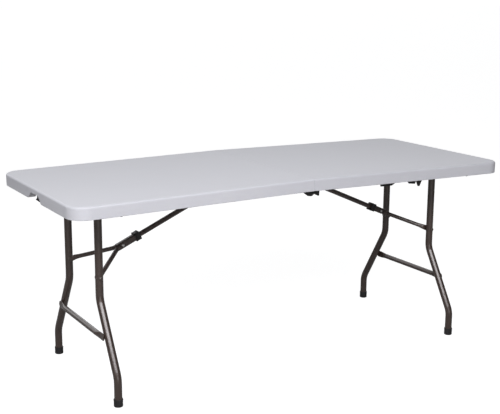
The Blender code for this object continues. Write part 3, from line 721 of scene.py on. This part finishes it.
def foot_cap(side, row):
    """A moulded cap: crowned sole, rounded heel, a faint waist and a lipped mouth."""
    name = f"foot_cap_{SIDE_NAMES[side]}_{ROW_NAMES[row]}"
    low, high = (Vector(corner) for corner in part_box(name))
    centre = ((low.x + high.x) / 2, (low.y + high.y) / 2, 0.0)
    radius = (high.x - low.x) / 2
    height = high.z
    mouth = radius - 0.0024
    profile = [(0, 0.0)]
    profile += arc((radius - 0.0035, 0.0030), 0.0030, 270, 360, 8)
    profile += [(radius - 0.0007, height * 0.45), (radius - 0.0004, height - 0.0062)]
    profile += arc((radius - 0.0012, height - 0.0040), 0.0012, -60, 0, 3)
    profile += arc((radius - 0.0012, height - 0.0012), 0.0012, 0, 90, 5)
    profile += [(mouth, height), (mouth, height - 0.006), (0, height - 0.006)]
    body = f"{SIDE_NAMES[side]}_leg_frame"
    add_piece(f"{name}_moulding", turned(profile, centre, (0, 0, 1)), body, "black_plastic", [name])


def crossbar(side):
    """The lower bar, round in the middle and pressed flat where it meets the legs."""
    name = f"crossbar_{SIDE_NAMES[side]}"
    low, high = (Vector(corner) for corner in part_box(name))
    radius = min((high.x - low.x) / 2, BAR_RADIUS)
    outer = high.x if side > 0 else low.x
    z = (low.z + high.z) / 2
    round_x = outer - side * radius
    flat_x = round_x - side * 0.0010
    reach = high.y - BAR_TRIM
    stations = []
    for share in (0.0, 0.12, 0.28, 0.5, 0.75, 1.0):
        y = reach - 0.008 * share
        half_z = 0.0045 + (BAR_END_HALF - 0.0045) * math.sqrt(max(0.0, 1 - (1 - share) ** 2))
        stations.append((y, flat_x, BAR_FLAT_HALF, half_z))
    for step in range(1, 13):
        share = step / 12
        stations.append((
            ease(reach - 0.028, reach - 0.062, share), ease(flat_x, round_x, share),
            ease(BAR_FLAT_HALF, radius, share), ease(BAR_END_HALF, radius, share),
        ))
    both = stations + [(-y, x, half_x, half_z) for y, x, half_x, half_z in reversed(stations)]
    across, upright = Vector((1.0, 0.0, 0.0)), Vector((0.0, 0.0, 1.0))
    sections = [(Vector((x, y, z)), across, upright, a, b) for y, x, a, b in both]
    body = f"{SIDE_NAMES[side]}_leg_frame"
    add_piece(f"{name}_bar", tube(sections), body, "coated_steel", [name])


# Knee braces


def brace_frame(side):
    """The knee's centre, and the directions along the brace, across it and up from it."""
    label = SIDE_NAMES[side]
    slide = next(j for j in frame["joints"] if j["name"] == f"{label}_lock_ring_slide")
    along = -Vector(slide["axis"]).normalized()
    across = Vector((0.0, 1.0, 0.0))
    upright = Vector((side * -along.z, 0.0, abs(along.x)))
    return centre_of(f"knee_rivet_{label}"), along, across, upright


def centre_of(name):
    low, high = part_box(name)
    return (Vector(low) + Vector(high)) / 2


def resampled(path, step):
    """Adds points to a path so that none are further apart than a step."""
    result = []
    for (point, way), (target, next_way) in zip(path, path[1:]):
        count = max(1, math.ceil((target - point).length / step))
        for k in range(count):
            share = k / count
            result.append((point.lerp(target, share), way.lerp(next_way, share).normalized()))
    result.append(path[-1])
    return result


def pressed(distance, length, eye_half):
    """Half thickness and half height of an arm whose end is pressed flat into a round eye."""
    share = (distance - FLAT_LENGTH) / (length - FLAT_LENGTH)
    if distance < eye_half:
        height = eye_half * math.sqrt(max(0.04, 1 - (1 - distance / eye_half) ** 2))
    else:
        height = ease(eye_half, ARM_RADIUS, share)
    return ease(FLAT_HALF, ARM_RADIUS, share), height


def yoke_arm(side, row):
    """A round arm that leaves the channel's flank at once and ends in an eye on the leg bolt."""
    label = SIDE_NAMES[side]
    name = f"yoke_arm_{label}_{ROW_NAMES[row]}"
    knee, along, across, upright = brace_frame(side)
    bolt = centre_of(f"leg_bolt_{label}_{ROW_NAMES[row]}")
    length = (bolt - knee).dot(along)
    near_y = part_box(f"knee_channel_{label}")[1][1] + ARM_GAP + FLAT_HALF
    far_y = max(abs(corner[1]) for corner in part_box(name)) - FLAT_HALF
    corners = []
    for x, y in (
        (ARM_START, near_y), (ARM_FIRST_BEND, near_y),
        (length - ARM_LAST_BEND, far_y), (length + ARM_OVERHANG, far_y),
    ):
        corners.append(knee + along * x + across * (row * y))
    path = resampled(bent_path(corners, ARM_BEND_RADIUS), PATH_STEP)
    total = sum((b[0] - a[0]).length for a, b in zip(path, path[1:]))
    sections = []
    travelled = 0.0
    for index, (point, way) in enumerate(path):
        if index:
            travelled += (point - path[index - 1][0]).length
        if travelled > total / 2:
            thickness, height = pressed(total - travelled, ARM_LEG_PRESS, ARM_LEG_EYE)
        else:
            thickness, height = pressed(travelled, ARM_KNEE_PRESS, ARM_KNEE_EYE)
        sections.append((point, upright.cross(way), upright, thickness, height))
    add_piece(f"{name}_tube", tube(sections), f"{label}_yoke", "coated_steel", [name])


def brace_tube(side):
    """The upper tube, pressed to an eye at the anchor and plain where it enters the channel."""
    label = SIDE_NAMES[side]
    knee, along, across, upright = brace_frame(side)
    anchor = centre_of(f"brace_pin_{label}")
    length = (knee - anchor).dot(along)
    sections = []
    for x, half_z in (
        (-0.0088, 0.0030), (-0.0082, 0.0050), (-0.0068, 0.0068), (-0.0040, 0.0080),
        (0.0, BRACE_EYE), (BRACE_FLAT_END, BRACE_EYE),
    ):
        sections.append((anchor + along * x, across, upright, BRACE_FLAT_HALF, half_z))
    for step in range(1, 13):
        share = step / 12
        centre = anchor + along * (BRACE_FLAT_END + BRACE_PRESS * share)
        half_y = ease(BRACE_FLAT_HALF, BRACE_RADIUS, share)
        sections.append((centre, across, upright, half_y, ease(BRACE_EYE, BRACE_RADIUS, share)))
    end = anchor + along * (length + 0.005)
    sections.append((end, across, upright, BRACE_RADIUS, BRACE_RADIUS))
    name = f"brace_tube_{label}"
    add_piece(f"{name}_drawn", tube(sections), f"{label}_brace_tube", "coated_steel", [name])


def rounded_box(half, low, high, radius, steps=6):
    """An outline as wide as twice a half, from low to high, with round corners."""
    points = []
    for a, b, start in (
        (half - radius, high - radius, 0), (-half + radius, high - radius, 90),
        (-half + radius, low + radius, 180), (half - radius, low + radius, 270),
    ):
        points += arc((a, b), radius, start, start + 90, steps)
    return points


def knee_channel(side):
    """The folded channel, round-shouldered on top, open below, with eased ends."""
    label = SIDE_NAMES[side]
    name = f"knee_channel_{label}"
    knee, along, across, upright = brace_frame(side)
    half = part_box(name)[1][1]

    def outline(ease_in):
        outer, inner = CHANNEL_SHOULDER, CHANNEL_INNER_SHOULDER
        wide, top, low = half - ease_in, CHANNEL_TOP - ease_in, CHANNEL_BOTTOM + ease_in
        sheet = CHANNEL_SHEET - 2 * ease_in
        points = [(wide, low)]
        points += arc((wide - outer, top - outer), outer, 0, 90, 6)
        points += arc((-wide + outer, top - outer), outer, 90, 180, 6)
        points += [(-wide, low), (-wide + sheet, low)]
        points += arc((-wide + sheet + inner, top - sheet - inner), inner, 180, 90, 6)
        points += arc((wide - sheet - inner, top - sheet - inner), inner, 90, 0, 6)
        return points + [(wide - sheet, low)]

    rings = []
    edge = 0.0004
    for x, ease_in in (
        (CHANNEL_START, edge), (CHANNEL_START + edge, 0.0),
        (CHANNEL_END - edge, 0.0), (CHANNEL_END, edge),
    ):
        rings.append([
            knee + along * x + across * y + upright * z for y, z in outline(ease_in)
        ])
    add_piece(f"{name}_folded", skin_rings(rings), f"{label}_yoke", "coated_steel", [name])


def lock_ring(side):
    """The sliding collar, with rounded corners and rolled rims."""
    label = SIDE_NAMES[side]
    name = f"lock_ring_{label}"
    knee, along, across, upright = brace_frame(side)
    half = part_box(f"knee_channel_{label}")[1][1] + RING_GAP
    low, high = CHANNEL_BOTTOM - RING_GAP, CHANNEL_TOP + RING_GAP
    start = RING_STARTS[side]
    end = start + RING_LENGTH
    rings = []
    for x, grow in (
        (start + 0.0012, 0.0), (start, 0.0012), (start, RING_WALL - 0.0014),
        (start + 0.0005, RING_WALL - 0.0004), (start + 0.0014, RING_WALL),
        (start + 0.0050, RING_WALL), (start + 0.0062, RING_WALL - 0.0008),
        (end - 0.0062, RING_WALL - 0.0008), (end - 0.0050, RING_WALL),
        (end - 0.0014, RING_WALL), (end - 0.0005, RING_WALL - 0.0004),
        (end, RING_WALL - 0.0014), (end, 0.0012), (end - 0.0012, 0.0),
    ):
        outline = rounded_box(half + grow, low - grow, high + grow, 0.0006 + grow * 0.8)
        rings.append([knee + along * x + across * y + upright * z for y, z in outline])
    add_piece(
        f"{name}_collar", skin_rings(rings, closed=True), f"{label}_lock_ring", "black_steel",
        [name],
    )


# Fasteners and the carry handle


def pin(name, body, slot, shank, head, low_head, high_head):
    """A pin along Y, as long and wide as its CAD node, with a domed head where asked."""
    low, high = (Vector(corner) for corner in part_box(name))
    centre = (low + high) / 2
    half = (high.y - low.y) / 2
    radius = (high.x - low.x) / 2

    def end(with_head):
        if not with_head:
            return [(0, half), (shank - 0.0006, half), (shank, half - 0.0006)]
        dome = arc((0.0, 0.0), 1.0, 90, 0, 9)
        points = [(radius * a, half - head * 0.7 + head * 0.7 * b) for a, b in dome]
        points[0] = (0, half)
        return points + [(radius, half - head + 0.0002), (shank, half - head)]

    profile = [(r, -y) for r, y in end(low_head)] + end(high_head)[::-1]
    add_piece(f"{name}_turned", turned(profile, centre, (0, 1, 0), 40), body, slot, [name])


def add_pins():
    """Every rivet, bolt, pin and axle that turns or holds along Y."""
    for side, label in SIDE_NAMES.items():
        pin(f"knee_rivet_{label}", f"{label}_yoke", "zinc", 0.0032, 0.0024, True, True)
        pin(f"brace_pin_{label}", f"{label}_half", "zinc", 0.0040, 0.0026, True, True)
        axle_low, axle_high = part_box(f"leg_axle_{label}")
        radius = (axle_high[2] - axle_low[2]) / 2
        pin(f"leg_axle_{label}", f"{label}_leg_frame", "coated_steel", radius, 0.0, False, False)
        for row, place in ROW_NAMES.items():
            pin(
                f"leg_bolt_{label}_{place}", f"{label}_leg_frame", "coated_steel", 0.0040, 0.0046,
                row < 0, row > 0,
            )
    for row, place in ROW_NAMES.items():
        pin(f"hinge_pin_{place}", "left_half", "black_steel", 0.0033, 0.0033, True, True)
    pin("latch_pin", "transport_latch", "black_steel", 0.0030, 0.0030, False, True)


def carry_handle():
    """A wire loop with a moulded grip on its outer run."""
    low, high = (Vector(corner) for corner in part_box("carry_handle"))
    rod = (high.z - low.z) / 2
    z = (low.z + high.z) / 2
    bend = HANDLE_BEND
    low_x, high_x = low.x + rod + bend, high.x - rod - bend
    low_y, high_y = low.y + rod + bend, high.y - rod - bend
    rings = []
    for centre, start in (
        ((high_x, high_y), 0), ((low_x, high_y), 90), ((low_x, low_y), 180), ((high_x, low_y), 270),
    ):
        outwards = arc((0.0, 0.0), 1.0, start, start + 90, 10)
        for (x, y), outward in zip(arc(centre, bend, start, start + 90, 10), outwards):
            across = Vector((*outward, 0.0))
            rings.append(oval(Vector((x, y, z)), across, Vector((0.0, 0.0, 1.0)), rod, rod, 20))
    add_piece(
        "carry_handle_wire", skin_rings(rings, closed=True), "carry_handle", "black_plastic",
        ["carry_handle"],
    )
    middle = (low.y + high.y) / 2
    reach = (high.y - low.y) / 2 - rod - bend - 0.004
    grip = rod + GRIP_SLEEVE
    profile = [(0, -reach), (rod + 0.0006, -reach)]
    profile += arc((grip - 0.0010, -reach + 0.0010), 0.0010, -90, 0, 4)
    for k in range(GRIP_GROOVES):
        at = -reach + 0.006 + (2 * reach - 0.012) * k / (GRIP_GROOVES - 1)
        profile += [
            (grip, at - 0.0012), (grip - 0.0007, at - 0.0006),
            (grip - 0.0007, at + 0.0006), (grip, at + 0.0012),
        ]
    profile += arc((grip - 0.0010, reach - 0.0010), 0.0010, 0, 90, 4)
    profile += [(rod + 0.0006, reach), (0, reach)]
    add_piece(
        "carry_handle_grip",
        turned(profile, (high.x - rod, middle, z), (0, 1, 0), 32), "carry_handle",
        "black_plastic", [],
    )


def mount_lug():
    """The pointed lug on the outer face of the handle's mount."""
    add_piece(
        "handle_mount_lug", prism_between(-1, LUG_OUTLINE, LUG_START, LUG_END), "left_half",
        "black_plastic", [],
    )


def soften_cad():
    """Eases the pressed and cut edges of CAD nodes that keep their own shape."""
    for name, node in nodes.items():
        if not name.startswith(EASED_NODES):
            continue
        weld = node.modifiers.new("weld", "WELD")
        weld.merge_threshold = 0.00001
        bevel = node.modifiers.new("eased_edges", "BEVEL")
        bevel.width = EASED_EDGE
        bevel.segments = 2
        bevel.limit_method = "ANGLE"
        bevel.angle_limit = math.radians(40)


# Stage, camera and lights


def emission_floor():
    """A pale studio floor: white to the camera, dimmer in what the object reflects."""
    material, shader = new_material("studio_floor", (0.35, 0.35, 0.35), 0.8, specular=0.1)
    shader.inputs["Emission Color"].default_value = (1.0, 1.0, 1.0, 1.0)
    shader.inputs["Emission Strength"].default_value = 0.86
    dim = add_node(material, "ShaderNodeBsdfDiffuse", Color=(0.34, 0.335, 0.33, 1.0))
    output = material.node_tree.nodes["Material Output"]
    link(material, camera_sees(material, shader, dim), output.inputs["Surface"])
    mesh = bpy.data.meshes.new("studio_floor")
    reach = 60.0
    mesh.from_pydata(
        [(-reach, -reach, 0.0), (reach, -reach, 0.0), (reach, reach, 0.0), (-reach, reach, 0.0)],
        [], [(0, 1, 2, 3)],
    )
    mesh.materials.append(material)
    floor = bpy.data.objects.new("studio_floor", mesh)
    floor.location.z = -0.0005
    bpy.context.scene.collection.objects.link(floor)


def add_camera():
    """Places the camera from its target, azimuth, elevation, distance and roll."""
    forward = Vector((
        math.sin(AZIMUTH) * math.cos(ELEVATION),
        math.cos(AZIMUTH) * math.cos(ELEVATION),
        -math.sin(ELEVATION),
    ))
    level_right = Vector((math.cos(AZIMUTH), -math.sin(AZIMUTH), 0.0))
    level_up = level_right.cross(forward)
    right = level_right * math.cos(ROLL) + level_up * math.sin(ROLL)
    up = level_up * math.cos(ROLL) - level_right * math.sin(ROLL)
    turn = Matrix((right, up, -forward)).transposed().to_4x4()
    data = bpy.data.cameras.new("camera")
    data.lens = LENS
    data.sensor_width = SENSOR
    camera = bpy.data.objects.new("camera", data)
    camera.matrix_world = Matrix.Translation(TARGET - forward * DISTANCE) @ turn
    bpy.context.scene.collection.objects.link(camera)
    bpy.context.scene.camera = camera


def add_softbox(name, position, aim, width, height, power, colour=(1.0, 1.0, 1.0)):
    """A rectangular light at a position, turned towards a point."""
    data = bpy.data.lights.new(name, "AREA")
    data.shape = "RECTANGLE"
    data.size = width
    data.size_y = height
    data.energy = power
    data.color = colour
    light = bpy.data.objects.new(name, data)
    light.location = position
    light.rotation_euler = (Vector(aim) - Vector(position)).to_track_quat("-Z", "Y").to_euler()
    bpy.context.scene.collection.objects.link(light)


def add_world(around, behind):
    """White to the camera; as light, dim all around and brighter behind the table."""
    world = bpy.data.worlds.new("studio")
    bpy.context.scene.world = world
    world.use_nodes = True
    world.node_tree.nodes.clear()
    output = add_node(world, "ShaderNodeOutputWorld")
    seen = add_node(world, "ShaderNodeBackground", Color=(1.0, 1.0, 1.0, 1.0), Strength=1.05)
    ambient = add_node(world, "ShaderNodeBackground", Color=(0.97, 0.98, 1.0, 1.0))
    direction = add_node(world, "ShaderNodeTexCoord")
    axes = add_node(world, "ShaderNodeSeparateXYZ")
    link(world, direction.outputs["Generated"], axes.inputs["Vector"])
    backward = remap(world, axes.outputs["Y"], 0.2, 0.8, 0.0, behind, "SMOOTHSTEP")
    upward = remap(world, axes.outputs["Z"], 0.02, 0.25, 0.0, 1.0, "SMOOTHSTEP")
    total = math_node(world, "ADD", math_node(world, "MULTIPLY", backward, upward), around)
    link(world, total, ambient.inputs["Strength"])
    link(world, camera_sees(world, seen, ambient), output.inputs["Surface"])


def add_lights():
    """A curved bank of key lights, a weak fill and a weak light overhead."""
    add_world(0.10, 1.14)
    for number, (azimuth, height, power) in enumerate(KEY_PANELS):
        angle = math.radians(azimuth)
        place = (-KEY_DISTANCE * math.sin(angle), -KEY_DISTANCE * math.cos(angle), height)
        add_softbox(f"key_{number}", place, (-0.1, -0.1, 0.4), 1.5, 1.1, power, KEY_COLOUR)
    add_softbox("front_fill", (-1.4, -4.6, 1.0), (-0.2, 0.0, 0.7), 2.2, 1.4, 22.0)
    add_softbox("overhead", (0.0, 0.3, 3.2), (0.0, 0.0, 0.7), 3.0, 1.6, 2.0)
    bpy.context.scene.view_settings.view_transform = "Standard"


emission_floor()
add_camera()
add_lights()
paint_nodes()
for side in SIDE_NAMES:
    moulded_top(side)
    grip_walls(side)
    crossbar(side)
    brace_tube(side)
    knee_channel(side)
    lock_ring(side)
    for row in ROW_NAMES:
        leg(side, row)
        foot_cap(side, row)
        yoke_arm(side, row)
add_pins()
carry_handle()
mount_lug()
soften_cad()
